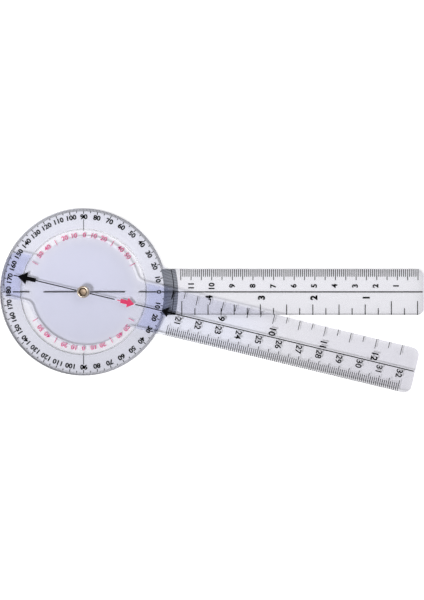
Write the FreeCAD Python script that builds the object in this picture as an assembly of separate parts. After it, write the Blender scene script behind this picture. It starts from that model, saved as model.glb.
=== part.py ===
import FreeCAD, Part
import math
import os

# A 360 degree goniometer: two clear plastic blades that turn on one rivet.
# Millimetres. The origin is on the pivot axis at the flat back, +X runs along the
# scale arm's ruler, and +Z points out of the printed face. The pointer arm lies on
# top of the scale arm, turned clockwise by its resting angle.

# Scale arm: the round protractor and its ruler
disc_radius = 40.5
scale_reach = 164.8        # pivot axis to the tip of the ruler
scale_width = 22.3
scale_thickness = 1.6
scale_tip_corner = 3.2
scale_root_fillet = 4.0    # concave, where the ruler leaves the disc
recess_radius = 30.0       # shallow round recess in the back of the disc, at its floor
recess_depth = 0.7
recess_wall_angle = 45.0   # degrees that the recess's wall leans out towards the back

# Pointer arm: hub, ruler and the short tail opposite the ruler
hub_radius = 26.4
pointer_reach = 164.8
pointer_width = 22.3
pointer_thickness = 1.6
pointer_tip_corner = 3.7
pointer_root_fillet = 4.5  # concave, where ruler and tail leave the hub
tail_inset = 0.6           # the tail stops this far inside the disc's rim
tail_corner = 5.0
resting_angle = -13.5      # degrees from the scale arm's centre line

edge_round = 0.25          # moulded round on the outside edges of both printed faces

# Semi-tubular rivet: flat head in the recess, hollow end rolled over the pointer arm
shank_radius = 2.2
head_radius = 2.9
head_edge_round = 0.3
lip_overhang = 0.7         # how far the rolled lip reaches past the shank
lip_height = 0.76
lip_round = 0.55           # outside of the lip; what is left of its height curls under
mouth_round = 0.6          # inside of the lip, down to the punched flats
mouth_inset = 0.51         # from the lip's crest in to the punched flats
punch_depth = 1.45         # below the lip's crest
punch_narrowing = 0.55     # how far each punched flat leans in on its way down
punch_margin = 0.12        # the punched flats lie this far outside the mouth's round rim
punch_overrun = 0.2        # the punch's drawn length above the lip, so it cuts through
dish_depth = 0.25          # shallow cone at the bottom of the hollow
dish_margin = 0.1          # flat left between the cone and the punched flats

# Clearances
blade_gap = 0.12           # air between the two blades
running_gap = 0.05         # radial, rivet in either blade's hole
seat_gap = 0.03            # under the rivet's head and under its rolled lip

# Heights above the back, worked out
pointer_bottom = scale_thickness + blade_gap
pointer_top = pointer_bottom + pointer_thickness
head_top = recess_depth - seat_gap
lip_bottom = pointer_top + seat_gap
rivet_top = lip_bottom + lip_height

hole_radius = shank_radius + running_gap
tail_reach = disc_radius - tail_inset
lip_radius = shank_radius + lip_overhang
crest_radius = lip_radius - lip_round
rim_radius = crest_radius - mouth_inset


def point(x, y, z=0.0):
    return FreeCAD.Vector(x, y, z)


def line(start, end):
    return Part.LineSegment(start, end).toShape()


def arc(centre, start, end):
    """The shorter arc about centre from start to end."""
    radius = (start - centre).Length
    middle = (start - centre) + (end - centre)
    middle.normalize()
    return Part.Arc(start, centre + middle * radius, end).toShape()


def root_fillet(body_radius, half_width, fillet):
    """Centre and ends of the concave arc between a round body and a straight edge:
    first the end on the straight edge, then the end on the body."""
    across = half_width + fillet
    along = math.sqrt((body_radius + fillet) ** 2 - across ** 2)
    share = body_radius / (body_radius + fillet)
    return point(along, across), point(along, half_width), point(along * share, across * share)


def end_corner(end_radius, half_width, corner):
    """Centre and ends of the convex arc between a straight edge and an end that is
    round about the pivot: first the end on the straight edge."""
    across = half_width - corner
    along = math.sqrt((end_radius - corner) ** 2 - across ** 2)
    share = end_radius / (end_radius - corner)
    return point(along, across), point(along, half_width), point(along * share, across * share)


def ruler_edges(body_radius, width, reach, tip_corner, fillet):
    """Upper half of a ruler's outline, from the middle of its tip to the round body.
    Also gives the point where it meets the body."""
    half = width / 2
    tip_end = point(reach, half - tip_corner)
    edge_start = point(reach - tip_corner, half)
    tip_centre = point(reach - tip_corner, half - tip_corner)
    root_centre, edge_end, on_body = root_fillet(body_radius, half, fillet)
    edges = [
        line(point(reach, 0), tip_end),
        arc(tip_centre, tip_end, edge_start),
        line(edge_start, edge_end),
        arc(root_centre, edge_end, on_body),
    ]
    return edges, on_body


def tail_edges(body_radius, width, end_radius, corner, fillet):
    """Upper half of the tail's outline on the -X side, from the round body to the
    middle of its end. Also gives the point where it meets the body."""
    half = width / 2
    root = [point(-p.x, p.y) for p in root_fillet(body_radius, half, fillet)]
    root_centre, edge_start, on_body = root
    turn = [point(-p.x, p.y) for p in end_corner(end_radius, half, corner)]
    corner_centre, edge_end, on_end = turn
    edges = [
        arc(root_centre, on_body, edge_start),
        line(edge_start, edge_end),
        arc(corner_centre, edge_end, on_end),
        arc(point(0, 0), on_end, point(-end_radius, 0)),
    ]
    return edges, on_body


def at_height(edge, height):
    """True if both ends of the edge are at that height."""
    return all(math.isclose(vertex.Z, height) for vertex in edge.Vertexes)


def plate(upper_edges, thickness):
    """A flat plate whose outline is the given edges and their mirror image in Y. The
    front's outside edges are rounded; the back's lie in the mould's parting plane and
    stay sharp."""
    mirrored = [edge.mirror(point(0, 0), point(0, 1)) for edge in upper_edges]
    outline = Part.Wire(Part.__sortEdges__(upper_edges + mirrored))
    solid = Part.Face(outline).extrude(point(0, 0, thickness)).removeSplitter()
    front_edges = [edge for edge in solid.Edges if at_height(edge, thickness)]
    return solid.makeFillet(edge_round, front_edges)


def scale_arm():
    edges, on_disc = ruler_edges(
        disc_radius, scale_width, scale_reach, scale_tip_corner, scale_root_fillet
    )
    edges.append(arc(point(0, 0), on_disc, point(0, disc_radius)))
    edges.append(arc(point(0, 0), point(0, disc_radius), point(-disc_radius, 0)))
    blade = plate(edges, scale_thickness)
    lean = recess_depth * math.tan(math.radians(recess_wall_angle))
    recess = Part.makeCone(recess_radius + lean, recess_radius, recess_depth)
    hole = Part.makeCylinder(hole_radius, scale_thickness)
    return blade.cut(recess).cut(hole)


def pointer_arm():
    arm, arm_on_hub = ruler_edges(
        hub_radius, pointer_width, pointer_reach, pointer_tip_corner, pointer_root_fillet
    )
    tail, tail_on_hub = tail_edges(
        hub_radius, pointer_width, tail_reach, tail_corner, pointer_root_fillet
    )
    over_hub = [arc(point(0, 0), arm_on_hub, tail_on_hub)]
    blade = plate(arm + over_hub + tail, pointer_thickness)
    blade = blade.cut(Part.makeCylinder(hole_radius, pointer_thickness))
    blade.translate(point(0, 0, pointer_bottom))
    blade.rotate(point(0, 0), point(0, 0, 1), resting_angle)
    return blade


def rivet_profile():
    """Half section of the rivet in the XZ plane, the axis on the left, before the punch
    opens its mouth."""
    curl = lip_height - lip_round
    rim_drop = mouth_round - math.sqrt(mouth_round ** 2 - mouth_inset ** 2)
    head_face = point(head_radius - head_edge_round, 0, 0)
    head_side = point(head_radius, 0, head_edge_round)
    head_centre = point(head_radius - head_edge_round, 0, head_edge_round)
    curl_under = point(lip_radius - curl, 0, lip_bottom)
    curl_centre = point(lip_radius - curl, 0, lip_bottom + curl)
    lip_side = point(lip_radius, 0, lip_bottom + curl)
    lip_centre = point(crest_radius, 0, rivet_top - lip_round)
    crest = point(crest_radius, 0, rivet_top)
    mouth_centre = point(crest_radius, 0, rivet_top - mouth_round)
    rim = point(rim_radius, 0, rivet_top - rim_drop)
    return [
        line(point(0, 0, 0), head_face),
        arc(head_centre, head_face, head_side),
        line(head_side, point(head_radius, 0, head_top)),
        line(point(head_radius, 0, head_top), point(shank_radius, 0, head_top)),
        line(point(shank_radius, 0, head_top), point(shank_radius, 0, lip_bottom)),
        line(point(shank_radius, 0, lip_bottom), curl_under),
        arc(curl_centre, curl_under, lip_side),
        arc(lip_centre, lip_side, crest),
        arc(mouth_centre, crest, rim),
        line(rim, point(0, 0, rivet_top - rim_drop)),
        line(point(0, 0, rivet_top - rim_drop), point(0, 0, 0)),
    ]


def hexagon(across_flats, height):
    corner_radius = across_flats / 2 / math.cos(math.pi / 6)
    angles = [math.radians(60 * corner) for corner in range(6)]
    corners = [
        point(corner_radius * math.cos(angle), corner_radius * math.sin(angle), height)
        for angle in angles
    ]
    return Part.makePolygon(corners + corners[:1])


def pivot_rivet():
    section = Part.Face(Part.Wire(rivet_profile()))
    body = section.revolve(point(0, 0, 0), point(0, 0, 1), 360)
    # The punch is a six-sided taper, a little wider at the lip's crest than the round
    # rim that it cuts away.
    crest_flats = 2 * (rim_radius + punch_margin)
    bottom_flats = crest_flats - 2 * punch_narrowing
    growth = 2 * punch_narrowing / punch_depth * punch_overrun
    punch_bottom = hexagon(bottom_flats, rivet_top - punch_depth)
    punch_top = hexagon(crest_flats + growth, rivet_top + punch_overrun)
    punch = Part.makeLoft([punch_bottom, punch_top], True, True)
    dish_radius = bottom_flats / 2 - dish_margin
    dish = Part.makeCone(0, dish_radius, dish_depth)
    dish.translate(point(0, 0, rivet_top - punch_depth - dish_depth))
    return body.cut(punch).cut(dish)


parts = {
    "scale_arm": scale_arm,
    "pointer_arm": pointer_arm,
    "pivot_rivet": pivot_rivet,
}

os.makedirs("parts", exist_ok=True)
for name, make in parts.items():
    shape = make()
    shape.exportStep("parts/" + name + ".step")
    box = shape.BoundBox
    print(name, len(shape.Solids), "solid", round(shape.Volume, 2), "mm3", shape.isValid(),
          [round(v, 3) for v in (box.XMin, box.YMin, box.ZMin, box.XMax, box.YMax, box.ZMax)])
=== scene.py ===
"""Finish of a clear plastic goniometer: two see-through arms on a brass rivet, with their
printed dial and rulers."""

from math import asin, atan2, cos, degrees, pi, radians, sin

import bmesh
import bpy
from mathutils import Matrix, Vector


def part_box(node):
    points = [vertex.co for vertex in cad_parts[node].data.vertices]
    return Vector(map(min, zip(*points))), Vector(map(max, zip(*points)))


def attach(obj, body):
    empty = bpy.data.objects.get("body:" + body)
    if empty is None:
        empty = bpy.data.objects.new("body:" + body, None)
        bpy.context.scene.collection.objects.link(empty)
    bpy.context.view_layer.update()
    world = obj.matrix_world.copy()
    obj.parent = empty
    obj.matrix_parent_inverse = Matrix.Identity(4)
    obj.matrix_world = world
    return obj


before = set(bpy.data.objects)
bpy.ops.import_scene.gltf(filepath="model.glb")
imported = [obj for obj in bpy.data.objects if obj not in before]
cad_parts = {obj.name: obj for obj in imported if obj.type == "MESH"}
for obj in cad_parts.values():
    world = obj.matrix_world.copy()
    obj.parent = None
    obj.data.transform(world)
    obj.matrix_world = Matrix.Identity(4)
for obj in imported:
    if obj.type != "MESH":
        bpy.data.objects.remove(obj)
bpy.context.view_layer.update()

MM = 0.001
INCH = 25.4  # in millimetres, as every size below is

# ---------------------------------------------------------------- sizes from the frame
scale_low, scale_high = [Vector(corner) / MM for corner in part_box("scale_arm")]
pointer_low = Vector(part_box("pointer_arm")[0]) / MM
disc_radius = scale_high.y
arm_reach = scale_high.x

# ---------------------------------------------------------------- sizes of the two blades and the rivet
arm_half_width = 11.15
recess_floor_radius = 30.0
recess_mouth_radius = 30.7
recess_depth = 0.7
rivet_clear_radius = 3.3
mouth_radius = 1.95        # of the rivet's hollow, at its lip
mouth_floor_radius = 1.35

# ---------------------------------------------------------------- the ink
ink_sunk = 0.010           # into the back, so that no air lies between ink and plastic
ink_proud = 0.020
print_margin = 0.05        # bare plastic left along a cut edge

# ---------------------------------------------------------------- the degree dial on the disc
degree_tick_inner = 39.2
five_tick_inner = 38.4
ten_tick_inner = 37.9
degree_tick_width = 0.15
long_tick_width = 0.34
rim_tick_end = 40.2
root_half_angle = 16.0
root_arc_radius = 43.8
root_arc_width = 0.32
root_band_outer = 45.8
grey_ground_inner = 39.0
ground_steps_per_degree = 2
degree_number_radius = 36.45
degree_number_height = 2.2
degree_number_shift = 0.12  # along X, all numbers of the dial
degree_number_weights = {1: 0.036, 2: 0.038, 3: 0.034}  # by the count of digits
degree_number_breadth = 1.1
leading_one_shift = 0.38  # a number that starts with a narrow 1 stands this far along
quarter_dot_radius = 0.68

# ---------------------------------------------------------------- the red deviation dial
red_number_radius = {90: 27.6, 270: 27.2}
red_number_height = 2.2
red_number_weight = 0.016
red_number_breadth = 1.02
red_tick_inner = {90: 25.7, 270: 25.3}
red_tick_length = 3.0
red_tick_width = 0.32
red_dial_turn = {90: -0.8, 270: 0.0}

# ---------------------------------------------------------------- straight lines of the dial
axis_line_width = 0.54
axis_line_end = 164.3
axis_line_spans = {  # by heading, in degrees
    0: ((rivet_clear_radius, 20.1), (26.7, 35.2), (38.0, axis_line_end)),
    180: ((rivet_clear_radius, 19.3), (26.1, 34.3)),
}
cross_line_width = {90: 0.24, 270: 0.32}
cross_line_span = (29.6, 35.2)

# ---------------------------------------------------------------- rulers on the scale arm
scale_cm_tick_width = 0.33
scale_cm_tick_lengths = (3.7, 5.4)
scale_cm_zero = 162.1
scale_cm_count = 11.5
scale_cm_number_pitch = 9.93
scale_cm_number_shift = -0.76
scale_cm_number_row = 2.92
scale_cm_number_height = 2.6
scale_cm_number_weight = 0.034
scale_inch_tick_width = 0.38
scale_inch_tick_lengths = (3.2, 5.0, 6.7)
scale_inch_zero = 161.9
scale_inch_count = 4.5
scale_inch_number_shift = 0.5
scale_inch_number_row = -2.8
scale_inch_number_height = 3.1
scale_inch_number_weight = 0.044

# ---------------------------------------------------------------- rulers on the pointer arm
pointer_tick_width = 0.32
pointer_cm_tick_lengths = (3.8, 5.3)
pointer_cm_zero = -161.3
pointer_cm_span = (20.5, 32.0)
pointer_cm_number_shift = -1.0
pointer_cm_number_row = -2.68
pointer_cm_number_height = 2.9
pointer_cm_number_weight = 0.022
pointer_inch_tick_lengths = (3.0, 4.8)
pointer_inch_zero = -161.42
pointer_inch_span = (8.25, 12.5)
pointer_inch_start = (42.4, 0.55, 4.45)  # the bar that opens this ruler: place, width, length
pointer_inch_number_shift = 0.8
pointer_inch_number_rows = {9: 3.0, 10: 2.4, 11: 2.4, 12: 2.4}
pointer_inch_number_height = 3.1
pointer_inch_number_weight = 0.031

# ---------------------------------------------------------------- line and arrows of the pointer arm
pointer_line_width = 0.50
pointer_line_spans = (
    (-34.5, -32.2), (-23.9, -rivet_clear_radius), (rivet_clear_radius, 15.6), (25.9, 39.2),
    (45.8, axis_line_end))
# An arrow's tip, the base of its head, the head's width, the stem's end and the stem's width.
tail_arrow = (-32.7, -28.0, 6.1, -23.6, 1.95)
hub_arrow = (25.4, 21.9, 4.9, 18.5, 2.0)
hub_arrow_stub = (18.6, 18.55, 0.5, 16.9, 0.45)
dial_arrow = (38.8, 42.1, 4.9, 46.0, 0.95)

# ---------------------------------------------------------------- the stage
floor_gap = 0.2
floor_radius = 6000.0
floor_fade = (-45.0, 20.0)     # along Y: the paper is painted darker towards -Y as shade, from the first shade to the second
floor_painted_shades = (0.68, 0.905)
floor_glow = (0.22, 0.53)      # as the plastic and the metal see it, and as the camera does
camera_height = 600.0
camera_middle = (62.25, -3.91)  # the point of the plan that it looks down on
frame_height = 291.1           # of the plan that it sees
sensor_height = 36.0
room_overhead = 0.04           # as a share of the light from round the horizon
room_dark_side = 0.22          # towards -X and -Y
room_dark_side_mirrored = 0.75
room_bright_side = 1.45

# Lamps: degrees and metres. The level is the share of a full white that the floor gets.
key_lamp = {"heading": 219.3, "height": 58, "distance": 1.0, "size": 0.20, "level": 0.73}
fill_lamp = {"heading": 42, "height": 40, "distance": 1.3, "size": 0.9, "level": 0.09}


def arm_turn(node):
    """The angle in the plan that an arm points along, from the middle of its tip."""
    tip = [v.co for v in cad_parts[node].data.vertices if v.co.xy.length > 0.95 * arm_reach * MM]
    middle = sum(tip, Vector()) / len(tip)
    return atan2(middle.y, middle.x)


pointer_turn = arm_turn("pointer_arm")


# ================================================================ meshes
def new_piece(name, mesh, body, material):
    """Shows a mesh as one finished piece that rides on a body and takes its finish from a slot."""
    mesh.name = name
    piece = bpy.data.objects.new(name, mesh)
    bpy.context.scene.collection.objects.link(piece)
    mesh.materials.clear()
    mesh.materials.append(material)
    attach(piece, body)
    return piece


def evaluated_mesh(source):
    """The final mesh of an object, as plain data. The object itself is removed."""
    depsgraph = bpy.context.evaluated_depsgraph_get()
    mesh = bpy.data.meshes.new_from_object(source.evaluated_get(depsgraph))
    bpy.data.objects.remove(source)
    return mesh


def slab(bm, outline, low, high):
    """Adds a closed plate of ink with this outline, counter-clockwise, between two heights."""
    bottom = [bm.verts.new((x * MM, y * MM, low * MM)) for x, y in outline]
    top = [bm.verts.new((x * MM, y * MM, high * MM)) for x, y in outline]
    bm.faces.new(top)
    bm.faces.new(bottom[::-1])
    for i in range(len(outline)):
        j = (i + 1) % len(outline)
        bm.faces.new((bottom[i], bottom[j], top[j], top[i]))


def bar(bm, start, end, width, low, high):
    """Adds a straight line of ink along X, from start to end, centred on the axis."""
    half = width / 2
    slab(bm, [(start, -half), (end, -half), (end, half), (start, half)], low, high)


def corner_row(bm, near, far, low, high):
    """Adds the four corners of a cut through a line of ink, between two points and two heights."""
    corners = ((*near, low), (*far, low), (*far, high), (*near, high))
    return [bm.verts.new(Vector(corner) * MM) for corner in corners]


def box_rows(bm, rows):
    """Joins rows of four corners into a closed tube."""
    bm.faces.new(rows[0])
    bm.faces.new(rows[-1][::-1])
    for near, far in zip(rows, rows[1:]):
        for i in range(4):
            j = (i + 1) % 4
            bm.faces.new((near[i], near[j], far[j], far[i]))


def strip(bm, inner, outer, low, high):
    """Adds a closed plate of ink between an inner and an outer line with as many points."""
    box_rows(bm, [corner_row(bm, near, far, low, high) for near, far in zip(inner, outer)])


def ribbon(bm, stations, width, turn):
    """Adds a line of ink outwards from the pivot. Each station is a distance and two heights."""
    rows = []
    for out, low, high in stations:
        near, far = turned([(out, -width / 2), (out, width / 2)], turn)
        rows.append(corner_row(bm, near, far, low, high))
    box_rows(bm, rows)


def turned(points, angle):
    """Points of an outline, turned about the pivot."""
    return [(x * cos(angle) - y * sin(angle), x * sin(angle) + y * cos(angle)) for x, y in points]


def moved(points, dx, dy):
    """Points of an outline, moved."""
    return [(x + dx, y + dy) for x, y in points]


def disc_outline(radius, points=28):
    """A round outline about the origin."""
    steps = [2 * pi * i / points for i in range(points)]
    return [(radius * cos(t), radius * sin(t)) for t in steps]


def arc_outline(radius, width, first, last, steps):
    """A curved band about the pivot, from one angle to another."""
    angles = [first + (last - first) * i / steps for i in range(steps + 1)]
    outer = [((radius + width / 2) * cos(t), (radius + width / 2) * sin(t)) for t in angles]
    inner = [((radius - width / 2) * cos(t), (radius - width / 2) * sin(t)) for t in angles]
    return outer + inner[::-1]


def finished(bm, turn=0.0):
    """Turns a built mesh about the pivot, points its faces outwards and makes it plain data."""
    bmesh.ops.rotate(bm, cent=(0, 0, 0), matrix=Matrix.Rotation(turn, 3, "Z"), verts=bm.verts)
    bmesh.ops.recalc_face_normals(bm, faces=bm.faces)
    mesh = bpy.data.meshes.new("print")
    bm.to_mesh(mesh)
    bm.free()
    return mesh


# ================================================================ ticks
def link(tree, source, target):
    """Joins an output socket to an input socket."""
    tree.links.new(source, target)


def tick_tree():
    """Nodes that lay one bar of ink at each point, by the point's own turn and length."""
    tree = bpy.data.node_groups.new("printed ticks", "GeometryNodeTree")
    face = tree.interface
    face.new_socket(name="Points", in_out="INPUT", socket_type="NodeSocketGeometry")
    face.new_socket(name="Tick Width", in_out="INPUT", socket_type="NodeSocketFloat")
    face.new_socket(name="Ink Depth", in_out="INPUT", socket_type="NodeSocketFloat")
    face.new_socket(name="Ink", in_out="INPUT", socket_type="NodeSocketMaterial")
    face.new_socket(name="Ticks", in_out="OUTPUT", socket_type="NodeSocketGeometry")
    given = tree.nodes.new("NodeGroupInput")
    result = tree.nodes.new("NodeGroupOutput")
    block = tree.nodes.new("GeometryNodeMeshCube")
    block.inputs["Size"].default_value = (1, 1, 1)
    from_end = tree.nodes.new("GeometryNodeTransform")
    from_end.inputs["Translation"].default_value = (0.5, 0, 0)
    length = tree.nodes.new("GeometryNodeInputNamedAttribute")
    length.data_type = "FLOAT"
    length.inputs["Name"].default_value = "length"
    turn = tree.nodes.new("GeometryNodeInputNamedAttribute")
    turn.data_type = "FLOAT"
    turn.inputs["Name"].default_value = "turn"
    size = tree.nodes.new("ShaderNodeCombineXYZ")
    angles = tree.nodes.new("ShaderNodeCombineXYZ")
    rotation = tree.nodes.new("FunctionNodeEulerToRotation")
    lay = tree.nodes.new("GeometryNodeInstanceOnPoints")
    realize = tree.nodes.new("GeometryNodeRealizeInstances")
    paint = tree.nodes.new("GeometryNodeSetMaterial")
    link(tree, block.outputs["Mesh"], from_end.inputs["Geometry"])
    link(tree, length.outputs["Attribute"], size.inputs["X"])
    link(tree, given.outputs["Tick Width"], size.inputs["Y"])
    link(tree, given.outputs["Ink Depth"], size.inputs["Z"])
    link(tree, turn.outputs["Attribute"], angles.inputs["Z"])
    link(tree, angles.outputs[0], rotation.inputs[0])
    link(tree, given.outputs["Points"], lay.inputs["Points"])
    link(tree, from_end.outputs["Geometry"], lay.inputs["Instance"])
    link(tree, rotation.outputs[0], lay.inputs["Rotation"])
    link(tree, size.outputs[0], lay.inputs["Scale"])
    link(tree, lay.outputs["Instances"], realize.inputs["Geometry"])
    link(tree, realize.outputs["Geometry"], paint.inputs["Geometry"])
    link(tree, given.outputs["Ink"], paint.inputs["Material"])
    link(tree, paint.outputs["Geometry"], result.inputs["Ticks"])
    return tree


def lay_ticks(tree, ticks, width, low, high, material, turn=0.0):
    """A mesh of ticks. Each tick is its starting point, its own turn and its length."""
    points = bpy.data.meshes.new("tick points")
    places = [Vector((x * MM, y * MM, (low + high) / 2 * MM)) for x, y, _, _ in ticks]
    points.from_pydata([Matrix.Rotation(turn, 3, "Z") @ place for place in places], [], [])
    turns = points.attributes.new("turn", "FLOAT", "POINT")
    lengths = points.attributes.new("length", "FLOAT", "POINT")
    turns.data.foreach_set("value", [tick[2] + turn for tick in ticks])
    lengths.data.foreach_set("value", [tick[3] * MM for tick in ticks])
    carrier = bpy.data.objects.new("tick carrier", points)
    bpy.context.scene.collection.objects.link(carrier)
    modifier = carrier.modifiers.new("ticks", "NODES")
    modifier.node_group = tree
    sockets = {item.name: item.identifier for item in tree.interface.items_tree if item.in_out == "INPUT"}
    modifier[sockets["Tick Width"]] = width * MM
    modifier[sockets["Ink Depth"]] = (high - low) * MM
    modifier[sockets["Ink"]] = material
    return evaluated_mesh(carrier)


def outline_reach(angle):
    """How far the scale arm's outline lies from the pivot in this direction."""
    sideways = abs(sin(angle))
    along_arm = arm_half_width / sideways if sideways > 1e-9 else arm_reach
    return max(disc_radius, along_arm if cos(angle) > 0 else 0)


def dial_edge(angle):
    """How far out the dial's print reaches in this direction."""
    if abs(angle) < radians(root_half_angle):
        return min(outline_reach(angle) - print_margin, root_band_outer)
    return rim_tick_end


def fine_degree_ticks():
    """A thin radial tick at each degree, over the grey ground."""
    ticks = []
    for degree in range(-180, 180):
        if degree:
            angle = radians(degree)
            start = (degree_tick_inner * cos(angle), degree_tick_inner * sin(angle))
            ticks.append((*start, angle, dial_edge(angle) - degree_tick_inner))
    return ticks


def long_degree_ticks():
    """The heavier inner end of every fifth tick. Tens start further in than fives."""
    ticks = []
    for degree in range(-180, 180, 5):
        if degree:
            angle = radians(degree)
            inner = ten_tick_inner if degree % 10 == 0 else five_tick_inner
            start = (inner * cos(angle), inner * sin(angle))
            ticks.append((*start, angle, degree_tick_inner - inner))
    return ticks


def red_ticks():
    """The thin red ticks that stand for 30 and 60 degrees of deviation, above and below the pivot."""
    ticks = []
    for middle in (90, 270):
        for step in (-60, -30, 30, 60):
            angle = radians(middle + step + red_dial_turn[middle])
            inner = red_tick_inner[middle]
            ticks.append((inner * cos(angle), inner * sin(angle), angle, red_tick_length))
    return ticks


def ruler_ticks(zero, pitch, first, last, side, lengths):
    """Ticks across an arm from one of its edges. Lengths gives each one's length by its number."""
    edge = side * (arm_half_width - print_margin)
    return [(zero + k * pitch, edge, -side * pi / 2, lengths(k)) for k in range(first, last + 1)]


def every(count, lengths):
    """Lengths of a ruler's ticks by their number: short, and long at each multiple of the count."""
    short, long = lengths
    return lambda k: long if k % count == 0 else short


# ================================================================ numbers
def digit_mesh(text, weight):
    """A number as a closed plate one unit thick, its digits one unit high and centred on the origin."""
    font = bpy.data.curves.new("number", "FONT")
    font.body = text
    font.align_x = "CENTER"
    font.resolution_u = 4
    font.offset = weight
    font.extrude = 0.5
    carrier = bpy.data.objects.new("number", font)
    bpy.context.scene.collection.objects.link(carrier)
    mesh = evaluated_mesh(carrier)
    bm = bmesh.new()
    bm.from_mesh(mesh)
    bpy.data.meshes.remove(mesh)
    bmesh.ops.remove_doubles(bm, verts=bm.verts, dist=1e-5)
    xs = [v.co.x for v in bm.verts]
    middle = (min(xs) + max(xs)) / 2
    for v in bm.verts:
        v.co.x = (v.co.x - middle) / digit_rise
        v.co.y = (v.co.y - digit_foot) / digit_rise - 0.5
    return bm


def measure_digits():
    """The foot and the height of the font's digits, from its eight."""
    font = bpy.data.curves.new("measure", "FONT")
    font.body = "8"
    carrier = bpy.data.objects.new("measure", font)
    bpy.context.scene.collection.objects.link(carrier)
    mesh = evaluated_mesh(carrier)
    ys = [v.co.y for v in mesh.vertices]
    bpy.data.meshes.remove(mesh)
    return min(ys), max(ys) - min(ys)


digit_foot, digit_rise = measure_digits()


def add_number(bm, text, x, y, turn, height, low, high, weight, breadth=1.0):
    """Adds a printed number, centred at a point and turned in the plan. Breadth is its share of
    the font's width."""
    number = digit_mesh(text, weight)
    rotation = Matrix.Rotation(turn, 3, "Z")
    middle = Vector((x, y, (low + high) / 2))
    for v in number.verts:
        flat = Vector((v.co.x * height * breadth, v.co.y * height, v.co.z * (high - low)))
        v.co = (rotation @ flat + middle) * MM
    mesh = bpy.data.meshes.new("number")
    number.to_mesh(mesh)
    number.free()
    bm.from_mesh(mesh)
    bpy.data.meshes.remove(mesh)


# ================================================================ shader groups
def new_group(name, inputs, outputs):
    """An empty shader group with named value inputs and outputs. Returns it with its two ends."""
    tree = bpy.data.node_groups.new(name, "ShaderNodeTree")
    for socket, value in inputs:
        made = tree.interface.new_socket(name=socket, in_out="INPUT", socket_type="NodeSocketFloat")
        made.default_value = value
    for socket, kind in outputs:
        tree.interface.new_socket(name=socket, in_out="OUTPUT", socket_type=kind)
    return tree, tree.nodes.new("NodeGroupInput"), tree.nodes.new("NodeGroupOutput")


def feed(tree, value, socket):
    """Gives an input socket a value, or a link from another socket."""
    if hasattr(value, "is_linked"):
        link(tree, value, socket)
    else:
        socket.default_value = value


def maths(tree, kind, *values, clamp=False):
    """A Math node. Each value is a number or a socket. Returns its output."""
    node = tree.nodes.new("ShaderNodeMath")
    node.operation = kind
    node.use_clamp = clamp
    for value, socket in zip(values, node.inputs):
        feed(tree, value, socket)
    return node.outputs[0]


def spread(tree, value, *limits):
    """A clamped Map Range node. The limits are from low, from high, to low and to high, each a
    number or a socket. Returns its output."""
    node = tree.nodes.new("ShaderNodeMapRange")
    link(tree, value, node.inputs["Value"])
    for name, limit in zip(("From Min", "From Max", "To Min", "To Max"), limits):
        feed(tree, limit, node.inputs[name])
    return node.outputs["Result"]


def mapped(tree, scale, turn=(0, 0, 0)):
    """Object coordinates, stretched and turned."""
    place = tree.nodes.new("ShaderNodeTexCoord")
    mapping = tree.nodes.new("ShaderNodeMapping")
    mapping.inputs["Scale"].default_value = scale
    mapping.inputs["Rotation"].default_value = turn
    link(tree, place.outputs["Object"], mapping.inputs["Vector"])
    return mapping.outputs["Vector"]


def noise(tree, vector, scale, detail=2.0, roughness=0.5):
    """A Noise Texture. Returns its value."""
    node = tree.nodes.new("ShaderNodeTexNoise")
    node.inputs["Scale"].default_value = scale
    node.inputs["Detail"].default_value = detail
    node.inputs["Roughness"].default_value = roughness
    link(tree, vector, node.inputs["Vector"])
    return node.outputs["Fac"]


def distance_group():
    """Distance from the pivot in the plan, as a share of the arms' reach."""
    tree, _, result = new_group("distance out", [], [("Share", "NodeSocketFloat")])
    flat = mapped(tree, (1 / (arm_reach * MM), 1 / (arm_reach * MM), 0))
    length = tree.nodes.new("ShaderNodeVectorMath")
    length.operation = "LENGTH"
    link(tree, flat, length.inputs[0])
    link(tree, length.outputs["Value"], result.inputs["Share"])
    return tree


def scratch_group():
    """Hairline scratches in four directions and fine dust, as a mask."""
    tree, given, result = new_group("hairline scratches", [("Amount", 0.5)], [("Mask", "NodeSocketFloat")])
    low = maths(tree, "MULTIPLY_ADD", given.outputs["Amount"], -0.16, 0.82)
    high = maths(tree, "ADD", low, 0.05)
    lines = None
    for angle in (17, 64, 112, 151):
        stretched = mapped(tree, (55, 5200, 300), (0, 0, radians(angle)))
        mask = spread(tree, noise(tree, stretched, 1.0, 1.0), low, high, 0.0, 1.0)
        lines = mask if lines is None else maths(tree, "MAXIMUM", lines, mask)
    patches = spread(tree, noise(tree, mapped(tree, (1, 1, 1)), 45.0, 2.0), 0.42, 0.62, 0.15, 1.0)
    specks = spread(tree, noise(tree, mapped(tree, (1, 1, 1)), 2600.0, 0.0), 0.80, 0.86, 0.0, 0.7)
    worn = maths(tree, "MULTIPLY", lines, patches)
    link(tree, maths(tree, "MAXIMUM", worn, specks), result.inputs["Mask"])
    return tree


def wall_group():
    """Two masks: the cut edges that stand upright, and what only slopes, such as rounded corners
    and the recess's wall. Both are 0 on the flat faces."""
    outputs = [("Mask", "NodeSocketFloat"), ("Slope", "NodeSocketFloat")]
    tree, _, result = new_group("cut edge", [], outputs)
    shape = tree.nodes.new("ShaderNodeNewGeometry")
    split = tree.nodes.new("ShaderNodeSeparateXYZ")
    link(tree, shape.outputs["Normal"], split.inputs[0])
    level = maths(tree, "ABSOLUTE", split.outputs["Z"])
    link(tree, spread(tree, level, 0.2, 0.7, 1.0, 0.0), result.inputs["Mask"])
    rising = spread(tree, level, 0.3, 0.6, 0.0, 1.0)
    falling = spread(tree, level, 0.8, 0.99, 1.0, 0.0)
    link(tree, maths(tree, "MULTIPLY", rising, falling), result.inputs["Slope"])
    return tree


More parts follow.
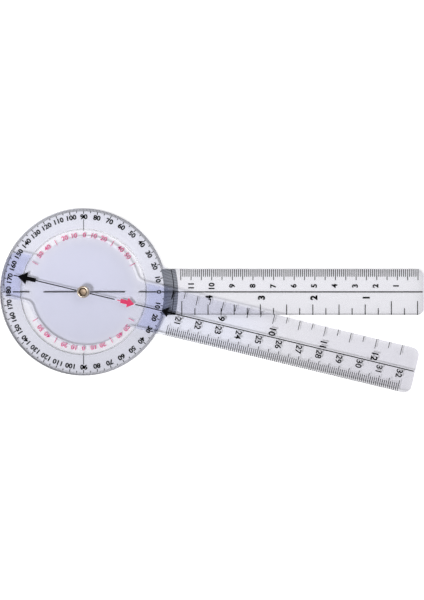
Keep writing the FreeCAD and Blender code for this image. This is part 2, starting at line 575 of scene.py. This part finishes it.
def ink_group():
    """Uneven cover of screen ink: cloudy thickness and pinholes."""
    outputs = [("Thin", "NodeSocketFloat"), ("Grain", "NodeSocketFloat")]
    tree, given, result = new_group("screen ink", [("Pinholes", 0.3)], outputs)
    cloud = spread(tree, noise(tree, mapped(tree, (1, 1, 1)), 420.0, 3.0), 0.35, 0.7, 0.0, 1.0)
    holes = spread(tree, noise(tree, mapped(tree, (1, 1, 1)), 9000.0, 1.0), 0.70, 0.78, 0.0, 1.0)
    pinned = maths(tree, "MULTIPLY", holes, given.outputs["Pinholes"])
    clouded = maths(tree, "MULTIPLY", cloud, 0.35)
    link(tree, maths(tree, "MAXIMUM", clouded, pinned), result.inputs["Thin"])
    link(tree, noise(tree, mapped(tree, (1, 1, 1)), 5200.0, 3.0), result.inputs["Grain"])
    return tree


distance_out = distance_group()
scratches = scratch_group()
cut_edge = wall_group()
screen_ink = ink_group()


# ================================================================ materials
def new_material(name):
    """An empty node material. Returns it with its tree and its output node."""
    material = bpy.data.materials.new(name)
    material.use_nodes = True
    tree = material.node_tree
    tree.nodes.clear()
    return material, tree, tree.nodes.new("ShaderNodeOutputMaterial")


def place_group(tree, group, **values):
    """Places a shader group in a material, with its own values."""
    node = tree.nodes.new("ShaderNodeGroup")
    node.node_tree = group
    for name, value in values.items():
        node.inputs[name].default_value = value
    return node


def colour_mix(tree, factor, a, b):
    """A Mix node between two colours, each plain or a socket. Returns its output."""
    node = tree.nodes.new("ShaderNodeMix")
    node.data_type = "RGBA"
    link(tree, factor, node.inputs["Factor"])
    for colour, socket in ((a, node.inputs[6]), (b, node.inputs[7])):
        feed(tree, colour if hasattr(colour, "is_linked") else (*colour, 1), socket)
    return node.outputs[2]


def bumped(tree, height, strength, distance):
    """A Bump node. Returns its normal."""
    node = tree.nodes.new("ShaderNodeBump")
    node.inputs["Strength"].default_value = strength
    node.inputs["Distance"].default_value = distance * MM
    link(tree, height, node.inputs["Height"])
    return node.outputs["Normal"]


def clear_plastic(name, zones, edge_tint_and_shade, lamp_edge, bend, arm_edge):
    """Polished clear sheet with sawn, slightly frosted edges. Lamps reach what is behind it, less
    so through its edges. Zones are pairs: a distance from the pivot and the colour there; their steps
    are painted shade and painted light. The edges' colour is their frosted colour darkened as painted
    shade. Bend is the share of it that slopes have, as painted shade, and arm_edge the share of an
    edge's shade that falls along the arm, past the disc."""
    material, tree, output = new_material(name)
    glass = tree.nodes.new("ShaderNodeBsdfPrincipled")
    glass.inputs["Metallic"].default_value = 0.0
    glass.inputs["Transmission Weight"].default_value = 1.0
    glass.inputs["IOR"].default_value = 1.49
    stand = place_group(tree, cut_edge)
    edge = stand.outputs["Mask"]
    marks = place_group(tree, scratches, Amount=0.45).outputs["Mask"]
    saw = spread(tree, noise(tree, mapped(tree, (1, 1, 0.15)), 3800.0, 2.0), 0.3, 0.7, 0.10, 0.26)
    frosted = maths(tree, "MULTIPLY", edge, saw)
    polished = maths(tree, "MULTIPLY_ADD", marks, 0.16, 0.03)
    moulded = maths(tree, "MULTIPLY", stand.outputs["Slope"], 0.52)
    rough = maths(tree, "MAXIMUM", maths(tree, "MAXIMUM", frosted, polished), moulded)
    link(tree, rough, glass.inputs["Roughness"])
    # painted shade and painted light: the sheet's colour changes with the distance from the pivot
    tints_and_shades = tree.nodes.new("ShaderNodeValToRGB")
    tints_and_shades.color_ramp.interpolation = "LINEAR"
    while len(tints_and_shades.color_ramp.elements) < len(zones):
        tints_and_shades.color_ramp.elements.new(0.5)
    for stop, (distance, zone_tint_and_shade) in zip(tints_and_shades.color_ramp.elements, zones):
        stop.position = distance / arm_reach
        stop.color = (*zone_tint_and_shade, 1)
    out = place_group(tree, distance_out).outputs["Share"]
    link(tree, out, tints_and_shades.inputs["Fac"])
    tint_and_shade = tints_and_shades.outputs["Color"]
    # painted shade: frosted edges, and slopes that take a share of the edges' darker colour
    edges_and_shaded_slopes = maths(tree, "MAXIMUM", edge, maths(tree, "MULTIPLY", stand.outputs["Slope"], bend))
    link(tree, colour_mix(tree, edges_and_shaded_slopes, tint_and_shade, edge_tint_and_shade), glass.inputs["Base Color"])
    flow = noise(tree, mapped(tree, (1, 1, 0.2)), 38.0, 2.0)
    height = maths(tree, "SUBTRACT", flow, maths(tree, "MULTIPLY", marks, 0.02))
    link(tree, bumped(tree, height, 0.35, 0.05), glass.inputs["Normal"])
    lamps = tree.nodes.new("ShaderNodeBsdfTransparent")
    rim = disc_radius / arm_reach
    shaded = maths(tree, "MULTIPLY", edges_and_shaded_slopes, spread(tree, out, rim, 1.2 * rim, 1.0, arm_edge))
    link(tree, colour_mix(tree, shaded, tint_and_shade, lamp_edge), lamps.inputs["Color"])
    path = tree.nodes.new("ShaderNodeLightPath")
    straight = maths(tree, "MAXIMUM", path.outputs["Is Shadow Ray"], path.outputs["Is Diffuse Ray"])
    mix = tree.nodes.new("ShaderNodeMixShader")
    link(tree, straight, mix.inputs[0])
    link(tree, glass.outputs[0], mix.inputs[1])
    link(tree, lamps.outputs[0], mix.inputs[2])
    link(tree, mix.outputs[0], output.inputs["Surface"])
    return material


def printing_ink(name, full, thin):
    """Matt screen ink of two colours, where it lies full and where it is thin."""
    material, tree, output = new_material(name)
    ink = tree.nodes.new("ShaderNodeBsdfPrincipled")
    cover = place_group(tree, screen_ink, Pinholes=0.35)
    link(tree, colour_mix(tree, cover.outputs["Thin"], full, thin), ink.inputs["Base Color"])
    rough = spread(tree, cover.outputs["Grain"], 0.3, 0.7, 0.42, 0.60)
    link(tree, rough, ink.inputs["Roughness"])
    link(tree, bumped(tree, cover.outputs["Grain"], 0.3, 0.004), ink.inputs["Normal"])
    ink.inputs["Specular IOR Level"].default_value = 0.02
    link(tree, ink.outputs[0], output.inputs["Surface"])
    return material


def turned_brass(name):
    """Pale brass with fine turning rings, hairlines and a thin film, dull in its hollow mouth, whose
    walls and floor are painted darker as shade."""
    material, tree, output = new_material(name)
    metal = tree.nodes.new("ShaderNodeBsdfPrincipled")
    metal.inputs["Metallic"].default_value = 1.0
    marks = place_group(tree, scratches, Amount=0.4).outputs["Mask"]
    rings = tree.nodes.new("ShaderNodeTexWave")
    rings.wave_type = "RINGS"
    rings.rings_direction = "Z"
    rings.inputs["Scale"].default_value = 1500.0
    rings.inputs["Distortion"].default_value = 1.2
    link(tree, mapped(tree, (1, 1, 1)), rings.inputs["Vector"])
    film = spread(tree, noise(tree, mapped(tree, (1, 1, 1)), 700.0, 3.0), 0.35, 0.7, 0.0, 1.0)
    bright = colour_mix(tree, film, (0.515, 0.45, 0.383), (0.448, 0.368, 0.29))
    share = place_group(tree, distance_out).outputs["Share"]
    out = maths(tree, "MULTIPLY", share, arm_reach)
    inside = spread(tree, out, mouth_radius - 0.15, mouth_radius + 0.05, 1.0, 0.0)
    floor = spread(tree, out, mouth_floor_radius - 0.15, mouth_floor_radius + 0.1, 1.0, 0.0)
    # painted shade: the hollow's walls darkest and its floor tan, as shade down in the hole
    hollow = colour_mix(tree, floor, (0.20, 0.15, 0.11), (0.43, 0.335, 0.25))
    link(tree, colour_mix(tree, inside, bright, hollow), metal.inputs["Base Color"])
    rough = maths(tree, "MULTIPLY_ADD", film, 0.10, 0.33)
    rough = maths(tree, "ADD", rough, maths(tree, "MULTIPLY", marks, 0.2))
    dull = maths(tree, "MULTIPLY", inside, 0.62)
    link(tree, maths(tree, "MAXIMUM", rough, dull), metal.inputs["Roughness"])
    relief = maths(tree, "SUBTRACT", maths(tree, "MULTIPLY", rings.outputs["Fac"], 0.4), marks)
    link(tree, bumped(tree, relief, 0.2, 0.003), metal.inputs["Normal"])
    link(tree, metal.outputs[0], output.inputs["Surface"])
    return material


# Pairs of a distance from the pivot and the tint there. A sheet has one tint of its own: the steps
# at the recess, the dial and the rim, and the other changes from zone to zone, are painted shade
# and painted light that stand in for the light that is scattered and shaded there.
scale_zones = [
    (0.0, (0.904, 0.906, 0.948)), (22.0, (0.904, 0.906, 0.946)), (26.5, (0.924, 0.924, 0.950)),
    (30.0, (0.925, 0.925, 0.950)), (30.7, (0.862, 0.864, 0.904)), (40.4, (0.862, 0.864, 0.904)),
    (41.5, (0.907, 0.905, 0.926)), (90.0, (0.907, 0.905, 0.926)), (arm_reach, (0.919, 0.917, 0.937))]
pointer_zones = [
    (0.0, (0.930, 0.933, 0.967)), (22.0, (0.932, 0.935, 0.966)), (26.5, (0.935, 0.938, 0.967)),
    (30.0, (0.935, 0.938, 0.967)), (31.0, (0.881, 0.897, 0.993)), (40.3, (0.881, 0.897, 0.993)),
    (41.5, (0.914, 0.920, 0.968)), (75.0, (0.922, 0.926, 0.970)), (100.0, (0.921, 0.918, 0.943)),
    (arm_reach, (0.920, 0.915, 0.949))]
scale_plastic = clear_plastic(
    "clear scale plastic", scale_zones, edge_tint_and_shade=(0.80, 0.81, 0.86), lamp_edge=(0.12, 0.12, 0.13),
    bend=0.15, arm_edge=1.0)
pointer_plastic = clear_plastic(
    "clear pointer plastic", pointer_zones, edge_tint_and_shade=(0.78, 0.80, 0.88), lamp_edge=(0.05, 0.05, 0.06),
    bend=0.80, arm_edge=0.55)
black_ink = printing_ink("black printing ink", (0.001, 0.001, 0.0015), (0.005, 0.005, 0.007))
grey_ink = printing_ink("grey printing ink", (0.294, 0.309, 0.343), (0.324, 0.339, 0.374))
pale_grey_ink = printing_ink("pale grey printing ink", (0.65, 0.65, 0.67), (0.70, 0.70, 0.72))
red_ink = printing_ink("red printing ink", (0.73, 0.055, 0.140), (0.79, 0.088, 0.195))
rose_ink = printing_ink("rose printing ink", (0.76, 0.080, 0.260), (0.84, 0.130, 0.345))
brass = turned_brass("turned brass")


def dress(node, material):
    """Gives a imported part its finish."""
    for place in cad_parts[node].material_slots:
        place.material = material


dress("scale_arm", scale_plastic)
dress("pointer_arm", pointer_plastic)
dress("pivot_rivet", brass)

# ================================================================ print on the back of the scale arm
back = (scale_low.z - ink_proud, scale_low.z + ink_sunk)
ground_height = (scale_low.z - ink_proud / 2, scale_low.z + ink_sunk / 2)
recess_back = (scale_low.z + recess_depth - ink_proud, scale_low.z + recess_depth + ink_sunk)
ticks_tree = tick_tree()


def scale_inch_length(k):
    """Quarter inch ticks: longer at the halves, longest at the ruler's ends and its first half."""
    short, long, longest = scale_inch_tick_lengths
    if k in (0, 2, round(scale_inch_count * 4)):
        return longest
    return long if k % 2 == 0 else short


def print_scale_ticks():
    """Every black tick of the scale arm."""
    fine = lay_ticks(ticks_tree, fine_degree_ticks(), degree_tick_width, *back, black_ink)
    new_piece("scale_degree_ticks", fine, "scale", black_ink)
    long = lay_ticks(ticks_tree, long_degree_ticks(), long_tick_width, *back, black_ink)
    new_piece("scale_five_degree_ticks", long, "scale", black_ink)
    count = round(scale_cm_count * 10)
    rule = ruler_ticks(scale_cm_zero, -1.0, 0, count, 1, every(5, scale_cm_tick_lengths))
    mesh = lay_ticks(ticks_tree, rule, scale_cm_tick_width, *back, black_ink)
    new_piece("scale_cm_ticks", mesh, "scale", black_ink)
    count = round(scale_inch_count * 4)
    rule = ruler_ticks(scale_inch_zero, -INCH / 4, 0, count, -1, scale_inch_length)
    mesh = lay_ticks(ticks_tree, rule, scale_inch_tick_width, *back, black_ink)
    new_piece("scale_inch_ticks", mesh, "scale", black_ink)


def print_grey_grounds():
    """The grey ground behind the degree ticks: a pale ring inside the rim and a darker band over
    the arm's root."""
    root = radians(root_half_angle)
    for name, first, last, ink in (
        ("scale_rim_ground", root, 2 * pi - root, pale_grey_ink),
        ("scale_root_ground", -root, root, grey_ink),
    ):
        steps = round(ground_steps_per_degree * degrees(last - first))
        angles = [first + (last - first) * i / steps for i in range(steps + 1)]
        reaches = [dial_edge(t if t < pi else t - 2 * pi) for t in angles]
        outer = [(reach * cos(t), reach * sin(t)) for reach, t in zip(reaches, angles)]
        inner = [(grey_ground_inner * cos(t), grey_ground_inner * sin(t)) for t in angles]
        bm = bmesh.new()
        strip(bm, inner, outer, *ground_height)
        new_piece(name, finished(bm), "scale", ink)


def print_scale_numbers():
    """The degree numbers, the same both ways round from 0 to 180, and the dots on the two 90s."""
    bm = bmesh.new()
    for value in range(0, 181, 10):
        for side in (1, -1) if 0 < value < 180 else (1,):
            angle = radians(side * value)
            shift = leading_one_shift if str(value)[0] == "1" else 0.0
            x, y = turned([(degree_number_radius, -shift)], angle)[0]
            weight = degree_number_weights[len(str(value))]
            add_number(
                bm, str(value), x + degree_number_shift, y, angle - pi / 2, degree_number_height,
                *back, weight, degree_number_breadth)
    for side in (1, -1):
        slab(bm, moved(disc_outline(quarter_dot_radius), 0, side * degree_number_radius), *back)
    new_piece("scale_degree_numbers", finished(bm), "scale", black_ink)


def print_red_dial():
    """The red numbers and ticks that count both ways from the top and the bottom of the dial,
    inside the recess."""
    mesh = lay_ticks(ticks_tree, red_ticks(), red_tick_width, *recess_back, rose_ink)
    new_piece("scale_red_ticks", mesh, "scale", rose_ink)
    bm = bmesh.new()
    for middle in (90, 270):
        for step in (-50, -40, -20, -10, 0, 10, 20, 40, 50):
            angle = radians(middle + step + red_dial_turn[middle])
            out = red_number_radius[middle]
            add_number(
                bm, str(abs(step)), out * cos(angle), out * sin(angle), angle - pi / 2,
                red_number_height, *recess_back, red_number_weight, red_number_breadth)
    new_piece("scale_red_numbers", finished(bm), "scale", rose_ink)


def line_between(bm, first, last, width, turn):
    """A line outwards from the pivot that follows the back down the recess's wall."""
    bends = [out for out in (recess_floor_radius, recess_mouth_radius) if first < out < last]
    stations = []
    for out in [first, *bends, last]:
        depth = recess_depth * (recess_mouth_radius - out) / (recess_mouth_radius - recess_floor_radius)
        surface = scale_low.z + min(max(depth, 0), recess_depth)
        stations.append((out, surface - ink_proud, surface + ink_sunk))
    ribbon(bm, stations, width, turn)


def print_scale_lines():
    """The axis of the dial and of the arm, the two uprights at 90 degrees and the curved line on
    the arm's root."""
    bm = bmesh.new()
    for heading, spans in axis_line_spans.items():
        for first, last in spans:
            line_between(bm, first, last, axis_line_width, radians(heading))
    for heading, width in cross_line_width.items():
        line_between(bm, *cross_line_span, width, radians(heading))
    half_angle = asin((arm_half_width - 2 * print_margin) / (root_arc_radius + root_arc_width / 2))
    slab(bm, arc_outline(root_arc_radius, root_arc_width, -half_angle, half_angle, 24), *back)
    new_piece("scale_lines", finished(bm), "scale", black_ink)


def print_scale_rulers():
    """The centimetre and inch numbers of the scale arm, which read up the arm's width."""
    bm = bmesh.new()
    for value in range(1, 12):
        x = scale_cm_zero - scale_cm_number_pitch * value + scale_cm_number_shift
        add_number(
            bm, str(value), x, scale_cm_number_row, pi / 2, scale_cm_number_height, *back,
            scale_cm_number_weight)
    for value in range(1, 5):
        x = scale_inch_zero - INCH * value + scale_inch_number_shift
        add_number(
            bm, str(value), x, scale_inch_number_row, pi / 2, scale_inch_number_height, *back,
            scale_inch_number_weight)
    new_piece("scale_ruler_numbers", finished(bm), "scale", black_ink)


print_grey_grounds()
print_scale_ticks()
print_scale_numbers()
print_red_dial()
print_scale_lines()
print_scale_rulers()

# ================================================================ print on the back of the pointer arm
under = (pointer_low.z - ink_proud, pointer_low.z + ink_sunk)


def print_pointer_ticks():
    """Every tick of the pointer arm's two rulers."""
    first, last = [round(10 * value) for value in pointer_cm_span]
    rule = ruler_ticks(pointer_cm_zero, 1.0, first, last, -1, every(5, pointer_cm_tick_lengths))
    first, last = [round(4 * value) for value in pointer_inch_span]
    halves = every(2, pointer_inch_tick_lengths)
    rule += ruler_ticks(pointer_inch_zero, INCH / 4, first, last, 1, halves)
    mesh = lay_ticks(ticks_tree, rule, pointer_tick_width, *under, black_ink, pointer_turn)
    new_piece("pointer_ruler_ticks", mesh, "pointer", black_ink)
    place, width, length = pointer_inch_start
    opening = [(place, arm_half_width - print_margin, -pi / 2, length)]
    mesh = lay_ticks(ticks_tree, opening, width, *under, black_ink, pointer_turn)
    new_piece("pointer_inch_start", mesh, "pointer", black_ink)


def print_pointer_rulers():
    """The centimetre and inch numbers of the pointer arm, which read down the arm's width."""
    bm = bmesh.new()
    for value in range(21, 33):
        along = 10 * value + pointer_cm_zero + pointer_cm_number_shift
        add_number(
            bm, str(value), along, pointer_cm_number_row, -pi / 2, pointer_cm_number_height, *under,
            pointer_cm_number_weight)
    for value, row in pointer_inch_number_rows.items():
        along = INCH * value + pointer_inch_zero + pointer_inch_number_shift
        add_number(
            bm, str(value), along, row, -pi / 2, pointer_inch_number_height, *under,
            pointer_inch_number_weight)
    mesh = finished(bm, pointer_turn)
    new_piece("pointer_ruler_numbers", mesh, "pointer", black_ink)


def print_pointer_line():
    """The fine line along the middle of the pointer arm, broken at the rivet and at the arrows."""
    bm = bmesh.new()
    for first, last in pointer_line_spans:
        bar(bm, first, last, pointer_line_width, *under)
    mesh = finished(bm, pointer_turn)
    new_piece("pointer_centre_line", mesh, "pointer", black_ink)


def arrow(tip, base, head_width, stem_end, stem_width):
    """The outline of an arrow that lies along X."""
    half, stem = head_width / 2, stem_width / 2
    upper = [(base, half), (base, stem), (stem_end, stem)]
    lower = [(x, -y) for x, y in reversed(upper)]
    return [(tip, 0), *upper, *lower]


def print_pointer_arrows():
    """The black arrow on the tail, the red arrow on the hub and the small black one on the dial's edge."""
    for name, arrows, slot, ink in (
        ("pointer_black_arrow", [tail_arrow], "black_print", black_ink),
        ("pointer_red_arrow", [hub_arrow, hub_arrow_stub], "red_print", red_ink),
        ("pointer_dial_arrow", [dial_arrow], "black_print", black_ink),
    ):
        bm = bmesh.new()
        for sizes in arrows:
            slab(bm, arrow(*sizes), *under)
        new_piece(name, finished(bm, pointer_turn), "pointer", ink)


print_pointer_ticks()
print_pointer_rulers()
print_pointer_line()
print_pointer_arrows()


# ================================================================ stage
def floor_material():
    """Pale sweep that reads as white and keeps the object's shadow. Its paper is painted darker
    towards -Y, as shade.
    """
    material, tree, output = new_material("pale sweep")
    paper = tree.nodes.new("ShaderNodeBsdfDiffuse")
    split = tree.nodes.new("ShaderNodeSeparateXYZ")
    link(tree, mapped(tree, (1, 1, 1)), split.inputs[0])
    # painted shade: the paper darkens towards -Y
    past = spread(tree, split.outputs["Y"], floor_fade[0] * MM, floor_fade[1] * MM, 0.0, 1.0)
    dim, pale = [(shade, shade, shade) for shade in floor_painted_shades]
    link(tree, colour_mix(tree, past, dim, pale), paper.inputs["Color"])
    glow = tree.nodes.new("ShaderNodeEmission")
    path = tree.nodes.new("ShaderNodeLightPath")
    seen = maths(tree, "MAXIMUM", path.outputs["Is Camera Ray"], path.outputs["Is Glossy Ray"])
    seen = maths(tree, "MAXIMUM", seen, path.outputs["Is Transmission Ray"])
    level = spread(tree, path.outputs["Is Camera Ray"], 0.0, 1.0, *floor_glow)
    link(tree, level, glow.inputs["Strength"])
    dark = tree.nodes.new("ShaderNodeEmission")
    dark.inputs["Strength"].default_value = 0.0
    choose = tree.nodes.new("ShaderNodeMixShader")
    link(tree, seen, choose.inputs[0])
    link(tree, dark.outputs[0], choose.inputs[1])
    link(tree, glow.outputs[0], choose.inputs[2])
    both = tree.nodes.new("ShaderNodeAddShader")
    link(tree, paper.outputs[0], both.inputs[0])
    link(tree, choose.outputs[0], both.inputs[1])
    link(tree, both.outputs[0], output.inputs["Surface"])
    material.cycles.emission_sampling = "NONE"
    return material


def make_floor():
    """A wide flat floor just under the arms."""
    bm = bmesh.new()
    bmesh.ops.create_circle(bm, cap_ends=True, segments=64, radius=floor_radius * MM)
    bmesh.ops.translate(bm, vec=(0, 0, -floor_gap * MM), verts=bm.verts)
    mesh = bpy.data.meshes.new("floor")
    bm.to_mesh(mesh)
    bm.free()
    mesh.materials.append(floor_material())
    floor = bpy.data.objects.new("floor", mesh)
    bpy.context.scene.collection.objects.link(floor)


def make_lamp(name, heading, height, distance, size, level):
    """A round soft lamp that faces the pivot, with the power that gives a white floor there its
    level. Returns it."""
    heading, height = radians(heading), radians(height)
    data = bpy.data.lights.new(name, "AREA")
    data.shape = "DISK"
    data.size = size
    data.energy = level * pi * distance ** 2 * pi / sin(height)
    lamp = bpy.data.objects.new(name, data)
    across = cos(height) * distance
    lamp.location = (across * cos(heading), across * sin(heading), sin(height) * distance)
    lamp.rotation_euler = (Vector((0, 0, 0)) - lamp.location).to_track_quat("-Z", "Y").to_euler()
    bpy.context.scene.collection.objects.link(lamp)
    return lamp


def keep_glints_off(lamp, nodes):
    """Stops a lamp's glints on some parts, as a polarising sheet over it does. Its light still
    passes through them."""
    receivers = bpy.data.collections.new("no glints")
    for index, node in enumerate(nodes):
        receivers.objects.link(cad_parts[node])
        receivers.collection_objects[index].light_linking.link_state = "EXCLUDE"
    lamp.light_linking.receiver_collection = receivers


def make_world():
    """A soft room: white round the horizon, dark overhead and towards -X and -Y, and plain white
    behind everything that is seen directly or straight through the plastic."""
    world = bpy.data.worlds.new("soft room")
    bpy.context.scene.world = world
    world.use_nodes = True
    tree = world.node_tree
    tree.nodes.clear()
    output = tree.nodes.new("ShaderNodeOutputWorld")
    place = tree.nodes.new("ShaderNodeTexCoord")
    split = tree.nodes.new("ShaderNodeSeparateXYZ")
    link(tree, place.outputs["Generated"], split.inputs[0])
    fall = spread(tree, split.outputs["Z"], 0.0, 0.95, 1.0, 0.0)
    fall = maths(tree, "POWER", fall, 0.8)
    level = maths(tree, "MULTIPLY_ADD", fall, 1 - room_overhead, room_overhead)
    far_side = maths(tree, "ADD", split.outputs["X"], split.outputs["Y"])
    path = tree.nodes.new("ShaderNodeLightPath")
    passing = path.outputs["Is Transmission Ray"]
    mirrored = maths(tree, "SUBTRACT", path.outputs["Is Glossy Ray"], passing, clamp=True)
    dark = spread(tree, mirrored, 0.0, 1.0, room_dark_side, room_dark_side_mirrored)
    side = spread(tree, far_side, -1.0, 0.35, dark, room_bright_side)
    level = maths(tree, "MULTIPLY", level, side)
    room = tree.nodes.new("ShaderNodeBackground")
    link(tree, level, room.inputs["Strength"])
    white = tree.nodes.new("ShaderNodeBackground")
    for background in (room, white):
        background.inputs["Color"].default_value = (1, 1, 1, 1)
    unmirrored = maths(tree, "LESS_THAN", path.outputs["Glossy Depth"], 0.5)
    through = maths(tree, "MULTIPLY", unmirrored, passing)
    mix = tree.nodes.new("ShaderNodeMixShader")
    link(tree, maths(tree, "MAXIMUM", path.outputs["Is Camera Ray"], through), mix.inputs[0])
    link(tree, room.outputs[0], mix.inputs[1])
    link(tree, white.outputs[0], mix.inputs[2])
    link(tree, mix.outputs[0], output.inputs["Surface"])


def make_camera():
    """Looks straight down on the plan. The frame is upright, and a sensor's width lies along the
    frame's longer side."""
    data = bpy.data.cameras.new("plan camera")
    data.sensor_fit = "AUTO"
    data.sensor_width = sensor_height
    data.lens = sensor_height * camera_height / frame_height
    data.clip_start = 0.01
    camera = bpy.data.objects.new("plan camera", data)
    camera.location = (camera_middle[0] * MM, camera_middle[1] * MM, camera_height * MM)
    bpy.context.scene.collection.objects.link(camera)
    bpy.context.scene.camera = camera


make_floor()
key = make_lamp("key", **key_lamp)
keep_glints_off(key, ("scale_arm", "pointer_arm"))
make_lamp("fill", **fill_lamp)
make_world()
make_camera()
bpy.context.scene.view_settings.view_transform = "Standard"
